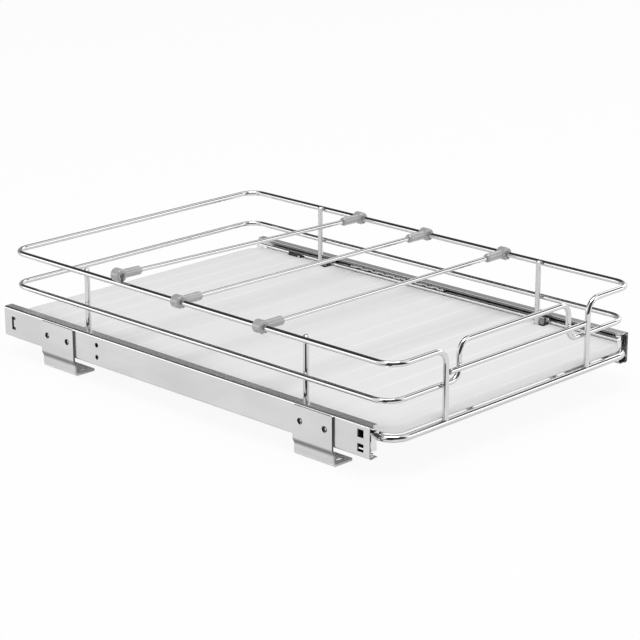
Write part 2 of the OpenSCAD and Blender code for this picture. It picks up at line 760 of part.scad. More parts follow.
module base_wire() {
    radii = [for (i = [0 : 3]) corner_radius];
    color(chrome) wire([
        [base_x, front_y, base_z], [base_x, back_y, base_z],
        [-base_x, back_y, base_z], [-base_x, front_y, base_z]
    ], radii, base_wire_d, closed = true);
}

module side_posts() {
    foot = base_z - base_wire_d / 2;
    height = top_z + post_over - foot;
    color(chrome) for (x = [-post_x, post_x], y = [-post_y, post_y])
        translate([x, y, foot]) {
            cylinder(d = post_d, h = height - post_chamfer);
            translate([0, 0, height - post_chamfer])
                cylinder(d1 = post_d, d2 = post_d - 2 * post_chamfer, h = post_chamfer);
        }
}

module front_bar() {
    z = middle_z + bar_rise;
    color(chrome) straight_wire([-bar_end, bar_y, z], [bar_end, bar_y, z], middle_wire_d);
}

module floor_wires() {
    color(chrome) for (y = floor_ys)
        straight_wire([-floor_end, y, floor_z], [floor_end, y, floor_z], floor_wire_d);
}

module floor_runners() {
    end = back_y - base_wire_d / 2 + weld_bite;
    color(chrome) for (x = [-runner_x, runner_x])
        straight_wire([x, -end, runner_z], [x, end, runner_z], runner_d);
}

// The sheet that lies on the floor wires. Its front edge bends down behind the front wire,
// and its sides are cut out round the posts with their plates and round the levers.
module floor_sheet() {
    front = front_y + top_wire_d / 2 + liner_front_gap;
    back = back_y - base_wire_d / 2 - liner_back_gap;
    middle = sheet_z + liner_sheet / 2;
    bend = floor_ys[len(floor_ys) - 1] - floor_wire_d / 2;
    post_side = post_x - post_d / 2;
    lever_side = rail_inner_face - lever_gap - lever_thick - rivet_clearance - rivet_head_height;
    color(frosted_sheet) difference() {
        rotate([90, 0, 90]) linear_extrude(2 * liner_side, center = true)
            stepped_sheet([[front, middle - liner_drop], [bend, middle], [back, middle]],
                          liner_sheet, [0, liner_bend, 0]);
        for (side = [LEFT, RIGHT]) mirror([side > 0 ? 0 : 1, 0, 0]) {
            translate([liner_side, front, middle]) round_off(-1, liner_corner, 3 * liner_drop);
            translate([liner_side, back, middle]) round_off(1, liner_corner, 3 * liner_drop);
            for (y = [-post_y, post_y])
                side_cut(post_side, y + plate_behind - plate_length, y + post_d / 2);
            side_cut(lever_side, lever_mid_y - lever_length / 2, lever_mid_y + lever_length / 2);
        }
    }
}

// A cut-out in the right side of the floor sheet, round what stands between front and back
module side_cut(x, front, back) {
    width = liner_side - x + 2 * liner_cut_gap;
    length = back - front + 2 * liner_cut_gap;
    translate([x - liner_cut_gap, front - liner_cut_gap, sheet_z - liner_sheet])
        cube([width, length, 3 * liner_sheet]);
}

// Plates that hold the tray against the inner members, one beside each side post
module fixing_plates() {
    foot = base_top - weld_bite;
    height = plate_height + weld_bite;
    ledge = rail_inner_face - post_x - post_d / 2 + weld_bite;
    color(chrome) for (side = [LEFT, RIGHT], y = [-post_y, post_y])
        translate([side * rail_inner_face, y + plate_behind - plate_length, foot])
            mirror([side > 0 ? 1 : 0, 0, 0]) difference() {
                union() {
                    cube([plate_sheet, plate_length, height]);
                    translate([0, plate_length - plate_behind - plate_sheet / 2, 0])
                        cube([ledge, plate_sheet, height]);
                }
                translate([0, plate_length - plate_behind - fixing_screw_y, fixing_z - foot])
                    rotate([0, 90, 0]) cylinder(d = fixing_shank + 2 * hole_clearance,
                                                h = 4 * plate_sheet, center = true);
            }
}

module fixing_screws() {
    reach = member_sheet + fixing_tip;
    color(dark_steel) for (side = [LEFT, RIGHT], y = [-post_y, post_y])
        translate([side * (rail_inner_face + reach), y - fixing_screw_y, fixing_z])
            rotate([0, -side * 90, 0]) {
                cylinder(d = fixing_shank, h = reach + plate_sheet);
                translate([0, 0, reach + plate_sheet])
                    cylinder(d1 = fixing_head, d2 = fixing_head - fixing_head_taper,
                             h = fixing_head_height);
            }
}

// Puts a divider's own frame on the tray: its origin is the ring of its right clip,
// and -X runs to the ring of its left clip.
module divider_frame(i) {
    run = 2 * top_x;
    shift = divider_left_y[i] - divider_right_y[i];
    translate([top_x, divider_right_y[i], top_z])
        rotate([0, asin(divider_lift[i] / run), 0])
            rotate([0, 0, -atan(shift / run)]) children();
}

function divider_run(i) = norm([2 * top_x, divider_left_y[i] - divider_right_y[i]]);

module divider_rod(i) {
    color(chrome) divider_frame(i)
        straight_wire([-divider_run(i) + rod_stop, 0, 0], [-rod_stop, 0, 0], rod_d);
}

module left_clip(i) {
    color(grey_plastic) divider_frame(i) translate([-divider_run(i), 0, 0]) clip();
}

module right_clip(i) {
    color(grey_plastic) divider_frame(i) mirror([1, 0, 0]) clip();
}

// A clip: a ring that snaps over the top wire, and a sleeve for the rod along +X
module clip() {
    difference() {
        union() {
            rotate([90, 0, 0]) clip_ring();
            rotate([0, 90, 0]) cylinder(d = sleeve_d, h = sleeve_reach - clip_rim);
            translate([sleeve_reach - clip_rim, 0, 0]) rotate([0, 90, 0])
                cylinder(d1 = sleeve_d, d2 = sleeve_d - clip_rim, h = clip_rim);
        }
        rotate([90, 0, 0]) cylinder(d = clip_bore, h = 2 * clip_length, center = true);
        translate([-clip_mouth / 2, -clip_length, -clip_d])
            cube([clip_mouth, 2 * clip_length, clip_d]);
        translate([rod_stop, 0, 0]) rotate([0, 90, 0])
            cylinder(d = rod_d + 2 * rod_clearance, h = sleeve_reach);
    }
}

// The ring's solid round, with rounded rims, along Z
module clip_ring() {
    r = clip_d / 2;
    half = clip_length / 2;
    rotate_extrude() {
        square([r - clip_rim, half]);
        translate([0, -half]) square([r - clip_rim, half]);
        translate([0, -half + clip_rim]) square([r, clip_length - 2 * clip_rim]);
        for (z = [-half + clip_rim, half - clip_rim])
            translate([r - clip_rim, z]) circle(r = clip_rim, $fn = 32);
    }
}

outer_member(LEFT);  // left_outer_member
outer_member(RIGHT);  // right_outer_member
intermediate_member(LEFT);  // left_intermediate_member
intermediate_member(RIGHT);  // right_intermediate_member
inner_member(LEFT);  // left_inner_member
inner_member(RIGHT);  // right_inner_member
outer_ball_cage(LEFT);  // left_outer_ball_cage
outer_ball_cage(RIGHT);  // right_outer_ball_cage
inner_ball_cage(LEFT);  // left_inner_ball_cage
inner_ball_cage(RIGHT);  // right_inner_ball_cage
outer_balls(LEFT);  // left_outer_balls
outer_balls(RIGHT);  // right_outer_balls
inner_balls(LEFT);  // left_inner_balls
inner_balls(RIGHT);  // right_inner_balls
bracket(LEFT, bracket_ys[0]);  // front_left_bracket
bracket(RIGHT, bracket_ys[0]);  // front_right_bracket
bracket(LEFT, bracket_ys[1]);  // back_left_bracket
bracket(RIGHT, bracket_ys[1]);  // back_right_bracket
rail_screws();
release_lever(LEFT);  // left_release_lever
release_lever(RIGHT);  // right_release_lever
lever_rivets();
top_wire();
middle_wire();
base_wire();
side_posts();
front_bar();
floor_wires();
floor_runners();
floor_sheet();
fixing_plates();
fixing_screws();
divider_rod(0);  // back_divider_rod
divider_rod(1);  // middle_divider_rod
divider_rod(2);  // front_divider_rod
left_clip(0);  // back_divider_left_clip
right_clip(0);  // back_divider_right_clip
left_clip(1);  // middle_divider_left_clip
right_clip(1);  // middle_divider_right_clip
left_clip(2);  // front_divider_left_clip
right_clip(2);  // front_divider_right_clip
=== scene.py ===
# %% [markdown]
# # A wire tray on ball rails
#
# The object is a tray of chromed wire that rolls out of a kitchen cabinet on two telescopic rails.
# All its shapes come from the CAD model, which is loaded here as a fixed frame.
# This file gives every part its finish, adds the small things that a welder and a screwdriver
# leave behind, and sets up the studio.

import json
import math

import bmesh
import bpy
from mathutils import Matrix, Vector


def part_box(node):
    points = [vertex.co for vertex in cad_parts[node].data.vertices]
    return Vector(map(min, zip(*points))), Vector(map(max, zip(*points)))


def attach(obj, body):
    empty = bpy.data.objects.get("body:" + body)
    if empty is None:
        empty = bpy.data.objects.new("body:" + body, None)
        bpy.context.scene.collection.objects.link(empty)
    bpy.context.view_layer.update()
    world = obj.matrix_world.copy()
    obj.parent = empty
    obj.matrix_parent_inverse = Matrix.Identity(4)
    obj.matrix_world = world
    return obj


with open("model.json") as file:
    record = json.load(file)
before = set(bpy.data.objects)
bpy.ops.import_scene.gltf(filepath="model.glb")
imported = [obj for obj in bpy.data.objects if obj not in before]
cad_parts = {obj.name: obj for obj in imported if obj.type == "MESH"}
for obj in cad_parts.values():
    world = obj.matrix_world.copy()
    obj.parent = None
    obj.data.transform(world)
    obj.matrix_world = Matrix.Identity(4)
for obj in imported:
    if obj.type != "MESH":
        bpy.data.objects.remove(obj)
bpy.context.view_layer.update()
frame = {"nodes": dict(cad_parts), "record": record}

# %% [markdown]
# ## The camera
#
# The photograph was taken from the front left corner, a little above the tray, with a long lens.
# The camera's place and lens were worked out from the straight wires of the tray, its posts, and
# the edges and ends of the rails, so they are set here with plain numbers. A long lens far away
# keeps the rails nearly parallel.

# %% Camera
CAMERA_PLACE = (-1.48736, -1.46092, 0.71257)
CAMERA_TURN = (72.35073, 0.12101, -45.71285)
CAMERA_LENS = 123.664

camera_data = bpy.data.cameras.new("camera")
camera_data.sensor_width = 36
camera_data.lens = CAMERA_LENS
camera = bpy.data.objects.new("camera", camera_data)
camera.location = CAMERA_PLACE
camera.rotation_euler = [math.radians(angle) for angle in CAMERA_TURN]
bpy.context.scene.collection.objects.link(camera)
bpy.context.scene.camera = camera
print("camera is", round(Vector(CAMERA_PLACE).length, 3), "m from the tray")

# %% [markdown]
# ## A short way to write a finish
#
# A finish is a tree of nodes, and a tree that is wired one link at a time is hard to read.
# So a socket is wrapped in a small class that knows + - * /, and each of these adds a Math node.
# Every other node comes from one method, `node`, which sets the node's own settings first and
# then its sockets.

# %% Sockets that can be added and multiplied
class Value:
    """One socket of a finish. Arithmetic on it adds Math nodes."""

    def __init__(self, finish, socket):
        self.finish = finish
        self.socket = socket

    def __add__(self, other):
        return self.finish.maths("ADD", self, other)

    def __radd__(self, other):
        return self.finish.maths("ADD", other, self)

    def __sub__(self, other):
        return self.finish.maths("SUBTRACT", self, other)

    def __rsub__(self, other):
        return self.finish.maths("SUBTRACT", other, self)

    def __mul__(self, other):
        return self.finish.maths("MULTIPLY", self, other)

    def __rmul__(self, other):
        return self.finish.maths("MULTIPLY", other, self)

    def __truediv__(self, other):
        return self.finish.maths("DIVIDE", self, other)


# %% A finish
class Finish:
    """A material that is built from a few calls."""

    def __init__(self, name):
        self.material = bpy.data.materials.new(name)
        self.material.use_nodes = True
        self.tree = self.material.node_tree
        self.tree.nodes.clear()
        self.place = self.node("ShaderNodeTexCoord").output("Object")

    def node(self, kind, settings=None, sockets=None):
        made = self.tree.nodes.new(kind)
        for key, value in (settings or {}).items():
            if key == "stops":
                self.set_stops(made.color_ramp, value)
            else:
                setattr(made, key, value)
        for key, value in (sockets or {}).items():
            if isinstance(value, Value):
                self.tree.links.new(value.socket, made.inputs[key])
            else:
                made.inputs[key].default_value = value
        return Made(self, made)

    def set_stops(self, ramp, stops):
        while len(ramp.elements) > 1:
            ramp.elements.remove(ramp.elements[0])
        for i, (position, grey) in enumerate(stops):
            stop = ramp.elements[0] if i == 0 else ramp.elements.new(position)
            stop.position = position
            stop.color = (grey, grey, grey, 1)

    def maths(self, operation, a, b=0.0):
        return self.node("ShaderNodeMath", {"operation": operation}, {0: a, 1: b}).output(0)

    def stretch(self, scale):
        return self.node("ShaderNodeVectorMath", {"operation": "MULTIPLY"},
                         {0: self.place, 1: scale}).output(0)

    def noise(self, scale, detail=3.0, rough=0.5):
        """Noise from 0 to 1. Scale is how many times it repeats per metre along X, Y and Z."""
        return self.node("ShaderNodeTexNoise", {},
                         {"Vector": self.stretch(scale), "Scale": 1.0,
                          "Detail": detail, "Roughness": rough}).output(0)

    def grade(self, value, low, high, to_low=0.0, to_high=1.0):
        """Turns value from low..high into to_low..to_high, with soft ends."""
        return self.node("ShaderNodeMapRange", {"interpolation_type": "SMOOTHSTEP"},
                         {"Value": value, "From Min": low, "From Max": high,
                          "To Min": to_low, "To Max": to_high}).output(0)

    def blend(self, mask, first, second):
        """Colour that is first where mask is 0 and second where it is 1."""
        return self.node("ShaderNodeMix", {"data_type": "RGBA"},
                         {"Factor": mask, 6: first, 7: second}).output(2)

    def bump(self, height, depth):
        """Normal of a surface whose height, from 0 to 1, is worth depth metres."""
        return self.node("ShaderNodeBump", {},
                         {"Height": height, "Distance": depth, "Strength": 1.0}).output(0)

    def axis(self, vector, name):
        """One of the X, Y and Z numbers of a vector."""
        return self.node("ShaderNodeSeparateXYZ", {}, {"Vector": vector}).output(name)

    def faces_along_y(self):
        """1 where the surface faces along Y, either way, and 0 elsewhere."""
        facing = self.node("ShaderNodeNewGeometry").output("Normal")
        return self.grade(self.maths("ABSOLUTE", self.axis(facing, "Y")), 0.8, 0.95)

    def surface(self, sockets):
        shader = self.node("ShaderNodeBsdfPrincipled", {}, sockets)
        self.node("ShaderNodeOutputMaterial", {}, {"Surface": shader.output(0)})
        return self.material


class Made:
    """A node that was made, for picking its outputs."""

    def __init__(self, finish, node):
        self.finish = finish
        self.made = node

    def output(self, name):
        return Value(self.finish, self.made.outputs[name])


def grey(level):
    return (level, level, level, 1.0)


# %% [markdown]
# ## Chrome
#
# The tray's wires are drawn steel rod with bright chrome plate. Chrome has almost no colour of
# its own: it shows the room. What makes it look real is that the plate is not perfect, so the
# roughness drifts a little along the wire and the surface has a very shallow ripple from drawing.

# %% Chrome finish
CHROME_SMOOTH = 0.035
CHROME_HAZE = 0.05
CHROME_RIPPLE = 0.000002


def make_chrome():
    finish = Finish("chrome_plate")
    cloud = finish.noise((14, 14, 14), detail=2.0)
    haze = finish.noise((420, 420, 420), detail=4.0, rough=0.6)
    ripple = finish.noise((160, 160, 160), detail=2.0)
    spread = finish.grade(haze * 0.5 + cloud * 0.5, 0.35, 0.7)
    return finish.surface({
        "Base Color": finish.blend(cloud, grey(0.68), grey(0.74)),
        "Metallic": 1.0,
        "Roughness": CHROME_SMOOTH + CHROME_HAZE * spread,
        "Normal": finish.bump(ripple, CHROME_RIPPLE),
    })


chrome = make_chrome()
print("chrome:", len(chrome.node_tree.nodes), "nodes")

# %% [markdown]
# ## Zinc plate
#
# Rails and brackets are rolled and pressed from zinc-plated strip. The strip keeps fine lines
# along the way it was rolled, which is along Y in the rails, and the plate has pale clouds in it.
# The lines are noise that is stretched more than a hundred times along Y. They change the
# roughness more than the colour, so they show where the light comes in low.
#
# The edges that face along Y are cuts across the strip, and they get painted shade: a dark grey
# that stands in for the shadow and the dark reflection on them. They are found by the direction
# that the surface faces, and only far from the middle and above the feet, where the outer strip
# and the brackets are.
#
# Inside a rail the ball tracks get painted shade, much darker than the outer faces of the same
# strip, where shade falls in the channel, and they are a little rougher. The inside is found by
# place: both rails lie along Y, so a box that ends just under the outer skin, and short of both
# ends, takes it in.
#
# A bracket steps inwards under the rail, and a dark soft band of painted shade runs along that
# step, where the face turns down and outwards. The foot lies in the shade of the tray and gets
# painted light: its top is given a pale and dull finish. Both are drawn by their height.

# %% Zinc finish
# Grey levels of painted shade on cut edges, rail tracks and bracket steps, and of painted light on
# feet.
CUT_PAINTED_SHADE = 0.16
CUT_ROUGHNESS = 0.2
CUT_FROM = (0.1795, 0.181)
TRACK_PAINTED_SHADE = 0.3
TRACK_ROUGHNESS = 0.12
TRACK_SHADE_END = (0.238, 0.243)
SKIN = 0.0008
CUT_ABOVE = (0.011, 0.017)
STEP_LOW = (0.0092, 0.0127)
STEP_HIGH = (0.0141, 0.0176)
STEP_PAINTED_SHADE = 0.24
FOOT_TOP = (0.0026, 0.004)
FOOT_PAINTED_LIGHT = 0.9
FOOT_DULLNESS = 0.9
RAIL_LOW, RAIL_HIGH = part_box("right_outer_member")
INNER_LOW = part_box("right_inner_member")[0]


def inside_rail(finish):
    """1 on the ball tracks of both rails, and 0 on their outer faces."""
    across = finish.maths("ABSOLUTE", finish.axis(finish.place, "X"))
    up = finish.axis(finish.place, "Z")
    past_web = finish.grade(across, INNER_LOW.x + SKIN, INNER_LOW.x + 2 * SKIN)
    short_of_back = finish.grade(across, RAIL_HIGH.x - SKIN, RAIL_HIGH.x - SKIN / 2, 1.0, 0.0)
    above = finish.grade(up, RAIL_LOW.z + SKIN / 2, RAIL_LOW.z + SKIN)
    below = finish.grade(up, RAIL_HIGH.z - SKIN, RAIL_HIGH.z - SKIN / 2, 1.0, 0.0)
    along = finish.maths("ABSOLUTE", finish.axis(finish.place, "Y"))
    clear_of_ends = finish.grade(along, *TRACK_SHADE_END, 1.0, 0.0)
    return past_web * short_of_back * above * below * clear_of_ends


def make_zinc(name, dark, pale, smooth, rough, line_depth, with_painted_light=False):
    """Plated strip. The pressed kind gets painted shade on cuts, tracks and steps, painted light
    on feet.
    """
    finish = Finish(name)
    lines = finish.noise((1500, 9, 1500), detail=4.0, rough=0.65)
    cloud = finish.noise((26, 11, 26), detail=4.0, rough=0.6)
    speck = finish.noise((900, 900, 900), detail=2.0)
    tone = finish.grade(cloud * 0.7 + lines * 0.3, 0.3, 0.7)
    plate = finish.blend(tone, grey(dark), grey(pale))
    polish = finish.grade(lines * 0.6 + speck * 0.4, 0.3, 0.7, smooth, rough)
    metal = 1.0
    if with_painted_light:
        across = finish.maths("ABSOLUTE", finish.axis(finish.place, "X"))
        up = finish.axis(finish.place, "Z")
        # painted light on the top of each foot, which lies in the shade of the tray
        foot_painted_light = finish.grade(up, *FOOT_TOP, 1.0, 0.0)
        far_out = finish.grade(across, *CUT_FROM)
        # painted shade on the cut edges that face along Y
        cut_painted_shade = finish.faces_along_y() * far_out * finish.grade(up, *CUT_ABOVE)
        # painted shade on the ball tracks inside the rails, where shade falls in the channel
        track_painted_shade = inside_rail(finish) * finish.grade(cloud, 0.2, 0.6, 0.8, 1.0)
        # painted shade along the step of each bracket, where the face turns down and outwards
        step = finish.grade(up, *STEP_LOW) * finish.grade(up, *STEP_HIGH, 1.0, 0.0) * (1 - cut_painted_shade)
        for mask, shade in ((step, STEP_PAINTED_SHADE), (cut_painted_shade, CUT_PAINTED_SHADE),
                            (track_painted_shade, TRACK_PAINTED_SHADE), (foot_painted_light, FOOT_PAINTED_LIGHT)):
            plate = finish.blend(mask, plate, grey(shade))
        polish = polish + cut_painted_shade * CUT_ROUGHNESS + track_painted_shade * TRACK_ROUGHNESS
        metal = 1 - FOOT_DULLNESS * foot_painted_light
    return finish.surface({
        "Base Color": plate, "Metallic": metal, "Roughness": polish,
        "Normal": finish.bump(lines * 0.8 + speck * 0.2, line_depth),
    })


zinc = make_zinc("zinc_plate", 0.68, 0.78, 0.17, 0.27, 0.000006, with_painted_light=True)
bright_zinc = make_zinc("bright_zinc_plate", 0.76, 0.86, 0.12, 0.2, 0.000004)

# %% [markdown]
# ## Steel without plate
#
# The ball cages are thin pressed strip, the balls are ground and polished, and the screws are
# nearly black, as blackened and oiled screws are.

# %% Steel finishes
cage_steel = make_zinc("cage_strip", 0.62, 0.74, 0.2, 0.32, 0.000006)
ball_steel = make_zinc("ground_ball", 0.7, 0.78, 0.04, 0.09, 0.000001)
dark_steel = make_zinc("oiled_steel", 0.07, 0.13, 0.28, 0.45, 0.000008)

# %% [markdown]
# ## Moulded plastic
#
# The divider clips are moulded in a mid grey, glossy enough for a soft highlight along the
# sleeve, and the release levers in black. The surface has a fine grain, well under a millimetre,
# and a slow drift in gloss.

# %% Plastic finishes
def make_plastic(name, dark, pale, smooth, rough, grain_depth, coat):
    finish = Finish(name)
    grain = finish.noise((2600, 2600, 2600), detail=3.0)
    drift = finish.noise((70, 70, 70), detail=3.0)
    return finish.surface({
        "Base Color": finish.blend(finish.grade(drift, 0.3, 0.7), grey(dark), grey(pale)),
        "Roughness": finish.grade(drift * 0.6 + grain * 0.4, 0.3, 0.7, smooth, rough),
        "Coat Weight": coat,
        "Coat Roughness": 0.1,
        "Normal": finish.bump(grain, grain_depth),
    })


grey_plastic = make_plastic("grey_moulding", 0.36, 0.42, 0.18, 0.26, 0.000008, 0.9)
black_plastic = make_plastic("black_moulding", 0.012, 0.022, 0.35, 0.5, 0.00001, 0.0)

# %% [markdown]
# ## The frosted floor sheet
#
# The sheet is pale plastic, less than a millimetre thick, with a matt top. It lies straight on
# the floor wires, and over each wire that touches it from below a soft lighter line is painted:
# painted light, for the bright wire seen through the sheet. The lines are drawn from the wires'
# own place and pitch, so they fall on the wires. No sheet lies quite flat, so a line fades
# wherever the sheet has lifted a little.

# %% Frosted sheet finish
FLOOR_PITCH = 0.0254
LINE_WANDER = 0.0012
LINE_EDGE = (0.0008, 0.0042)
wires_low, wires_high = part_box("floor_wires")
floor_wire = wires_high.z - wires_low.z
last_wire = wires_high.y - floor_wire / 2


def make_frosted_sheet():
    finish = Finish("frosted_sheet")
    along = finish.axis(finish.place, "Y")
    turns = (last_wire - along) / FLOOR_PITCH + 0.5
    part = finish.maths("FRACT", turns) - 0.5
    away = finish.maths("ABSOLUTE", part) * FLOOR_PITCH
    wander = finish.noise((18, 60, 18), detail=2.0)
    # painted light: a soft lighter line over each floor wire, for the wire seen through the sheet
    painted_wire_light = finish.grade(away + wander * LINE_WANDER, *LINE_EDGE, 1.0, 0.0)
    streak = finish.noise((5, 150, 5), detail=3.0, rough=0.6)
    cloud = finish.noise((7, 7, 7), detail=2.0)
    frost = finish.noise((1900, 1900, 1900), detail=4.0, rough=0.7)
    touch = finish.grade(finish.noise((6, 3, 6), detail=2.0), 0.35, 0.6, 0.3, 1.0)
    tone = painted_wire_light * touch * 0.45 + streak * 0.35 + cloud * 0.2
    return finish.surface({
        "Base Color": finish.blend(finish.grade(tone, 0.1, 0.85), grey(0.75), grey(0.81)),
        "Roughness": finish.grade(frost, 0.3, 0.7, 0.5, 0.64),
        "Normal": finish.bump(frost, 0.00002),
    })


frosted_sheet = make_frosted_sheet()
print("floor wires are", round(floor_wire * 1000, 2), "mm thick")

# %% [markdown]
# ## Putting the finishes on
#
# A CAD part keeps its shape and place, and only its material changes. The record names one
# material slot for each part, so the slot says which finish it gets.

# %% Dress the CAD parts
FINISHES = {
    "chrome": chrome, "zinc": zinc, "bright_zinc": bright_zinc, "cage_steel": cage_steel,
    "ball_steel": ball_steel, "dark_steel": dark_steel, "black_plastic": black_plastic,
    "grey_plastic": grey_plastic, "frosted_sheet": frosted_sheet,
}
for part in frame["record"]["subparts"]:
    node = frame["nodes"][part["node"]]
    for material_slot in node.material_slots:
        material_slot.material = FINISHES[part["material_slot"]]
print("dressed", len(frame["nodes"]), "CAD parts")

# %% [markdown]
# ## Weld beads
#
# Wherever two wires cross they are pressed together and welded with a short pulse of current.
# The steel softens and a small bead squeezes out round the joint, and the chrome goes over it
# later. A hundred beads by hand would be slow work, so one bead with few faces is made once and
# put at every joint with Geometry Nodes. The points carry their own direction and size.

# %% A small kit for trees of nodes
def new_tree(name, sizes):
    """An empty tree with one geometry input, the named sizes and one geometry output."""
    tree = bpy.data.node_groups.new(name, "GeometryNodeTree")
    tree.interface.new_socket("Geometry", in_out="INPUT", socket_type="NodeSocketGeometry")
    for size, value in sizes.items():
        socket = tree.interface.new_socket(size, in_out="INPUT", socket_type="NodeSocketFloat")
        socket.default_value = value
    tree.interface.new_socket("Geometry", in_out="OUTPUT", socket_type="NodeSocketGeometry")
    return tree


def place_node(tree, kind, settings=None, sockets=None):
    made = tree.nodes.new(kind)
    for key, value in (settings or {}).items():
        setattr(made, key, value)
    for key, value in (sockets or {}).items():
        if isinstance(value, bpy.types.NodeSocket):
            tree.links.new(value, made.inputs[key])
        else:
            made.inputs[key].default_value = value
    return made


def grow(name, tree, seed_mesh, sizes, body):
    """Runs a tree on a mesh, keeps the plain result and lets it ride on a body."""
    carrier = bpy.data.objects.new(name + "_points", seed_mesh)
    bpy.context.scene.collection.objects.link(carrier)
    modifier = carrier.modifiers.new("grow", "NODES")
    modifier.node_group = tree
    for item in tree.interface.items_tree:
        if item.item_type == "SOCKET" and item.in_out == "INPUT" and item.name in sizes:
            modifier[item.identifier] = sizes[item.name]
    evaluated = carrier.evaluated_get(bpy.context.evaluated_depsgraph_get())
    mesh = bpy.data.meshes.new_from_object(evaluated)
    bpy.data.objects.remove(carrier)
    piece = bpy.data.objects.new(name, mesh)
    bpy.context.scene.collection.objects.link(piece)
    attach(piece, body)
    print(name, "has", len(mesh.polygons), "faces")


# %% Where the wires are welded
def middle_height(node):
    low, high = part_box(node)
    return (low.z + high.z) / 2


base_low, base_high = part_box("base_wire")
post_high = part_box("side_posts")[1]
runner_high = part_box("floor_runners")[1]

TOP_WIRE = 0.0055
BASE_WIRE = base_high.z - base_low.z
POST = 0.0054
POST_Y = post_high.y - POST / 2
POST_X = post_high.x - POST / 2
FRONT_POST_X = 0.1012
HANDLE_X = 0.078
RUNNER_X = 0.06
BITE = 0.0004
FOOT_BITE = 0.0007
FOOT_RISE = 0.0012
top_z = 0.1037
middle_z = 0.0688
base_z = middle_height("base_wire")
bar_z = middle_height("front_bar")
runner_z = middle_height("floor_runners")
base_x = base_high.x - BASE_WIRE / 2
front_y = base_low.y + BASE_WIRE / 2
front_joint_y = front_y + TOP_WIRE / 2 - BITE / 2

# Each kind of bead has a radius and a rise
JOINT_BEAD = (0.0021, 0.0009)
SIDE_FOOT_BEAD = (0.003, 0.0012)
FRONT_FOOT_BEAD = (0.0031, 0.001)
RUNNER_END_BEAD = (0.0021, 0.0007)
BASE_BEAD = (0.0019, 0.0008)
RUNNER_BEAD = (0.0018, 0.0008)
UP = (0, 0, 1)
BACK = (0, 1, 0)

welds = []


def weld(place, along, bead):
    welds.append((Vector(place), Vector(along), *bead))


for side in (-1, 1):
    outward = (side, 0, 0)
    post_face = side * (POST_X + POST / 2 - BITE / 2)
    post_foot = side * (POST_X + POST / 2 - FOOT_BITE)
    for post_y in (-POST_Y, POST_Y):
        weld((post_face, post_y, top_z), outward, JOINT_BEAD)
        weld((post_face, post_y, middle_z), outward, JOINT_BEAD)
        weld((post_foot, post_y, base_z + FOOT_RISE), outward, SIDE_FOOT_BEAD)
    weld((side * FRONT_POST_X, front_y, base_high.z - BITE / 2), UP, FRONT_FOOT_BEAD)
    weld((side * FRONT_POST_X, front_joint_y, middle_z), BACK, JOINT_BEAD)
    weld((side * HANDLE_X, front_joint_y, bar_z), BACK, JOINT_BEAD)
    for end in (-1, 1):
        weld((side * RUNNER_X, end * runner_high.y, runner_z), (0, end, 0), RUNNER_END_BEAD)

wire_count = round((last_wire - (wires_low.y + floor_wire / 2)) / FLOOR_PITCH) + 1
for i in range(wire_count):
    wire_y = last_wire - i * FLOOR_PITCH
    for side in (-1, 1):
        weld((side * base_x, wire_y, base_high.z - BITE / 2), UP, BASE_BEAD)
        weld((side * RUNNER_X, wire_y, runner_high.z - BITE / 2), UP, RUNNER_BEAD)
print(len(welds), "welds")


# %% Grow the beads
def bead_tree(name, finish):
    """Puts a low round bead at every point, turned along the point's own direction."""
    tree = new_tree(name, {"Roundness": 1.0})
    inside = tree.nodes.new("NodeGroupInput")
    outside = tree.nodes.new("NodeGroupOutput")
    bead = place_node(tree, "GeometryNodeMeshIcoSphere", {}, {"Radius": 1.0, "Subdivisions": 2})
    along = place_node(tree, "GeometryNodeInputNamedAttribute", {"data_type": "FLOAT_VECTOR"},
                       {"Name": "along"})
    size = place_node(tree, "GeometryNodeInputNamedAttribute", {"data_type": "FLOAT_VECTOR"},
                      {"Name": "size"})
    turn = place_node(tree, "FunctionNodeAlignRotationToVector", {"axis": "Z"},
                      {"Vector": along.outputs["Attribute"]})
    scale = place_node(tree, "ShaderNodeVectorMath", {"operation": "SCALE"},
                       {0: size.outputs["Attribute"], "Scale": inside.outputs["Roundness"]})
    spread = place_node(tree, "GeometryNodeInstanceOnPoints", {}, {
        "Points": inside.outputs["Geometry"], "Instance": bead.outputs["Mesh"],
        "Rotation": turn.outputs["Rotation"], "Scale": scale.outputs["Vector"]})
    solid = place_node(tree, "GeometryNodeRealizeInstances", {},
                       {"Geometry": spread.outputs["Instances"]})
    smooth = place_node(tree, "GeometryNodeSetShadeSmooth", {},
                        {"Geometry": solid.outputs["Geometry"]})
    paint = place_node(tree, "GeometryNodeSetMaterial", {},
                       {"Geometry": smooth.outputs["Geometry"], "Material": finish})
    tree.links.new(paint.outputs["Geometry"], outside.inputs["Geometry"])
    return tree


def bead_points(name, beads):
    """A mesh of bare points that carry their direction and their size."""
    mesh = bpy.data.meshes.new(name)
    mesh.from_pydata([place for place, along, width, height in beads], [], [])
    along_data = mesh.attributes.new("along", "FLOAT_VECTOR", "POINT")
    size_data = mesh.attributes.new("size", "FLOAT_VECTOR", "POINT")
    for i, (place, along, width, height) in enumerate(beads):
        along_data.data[i].vector = along
        size_data.data[i].vector = (width, width, height)
    return mesh


grow("weld_beads", bead_tree("weld_beads", chrome), bead_points("weld_points", welds),
     {"Roundness": 1.0}, "tray")

# %% [markdown]
# ## Screw tips
#
# Each bracket is held by two screws that come from inside the rail, so from outside one sees
# their tips, a little below the face of the bracket. A low bright dome on each tip catches one
# small light in the dark of its hole. The dome is the same low bead as a weld, on eight points,
# in another finish.

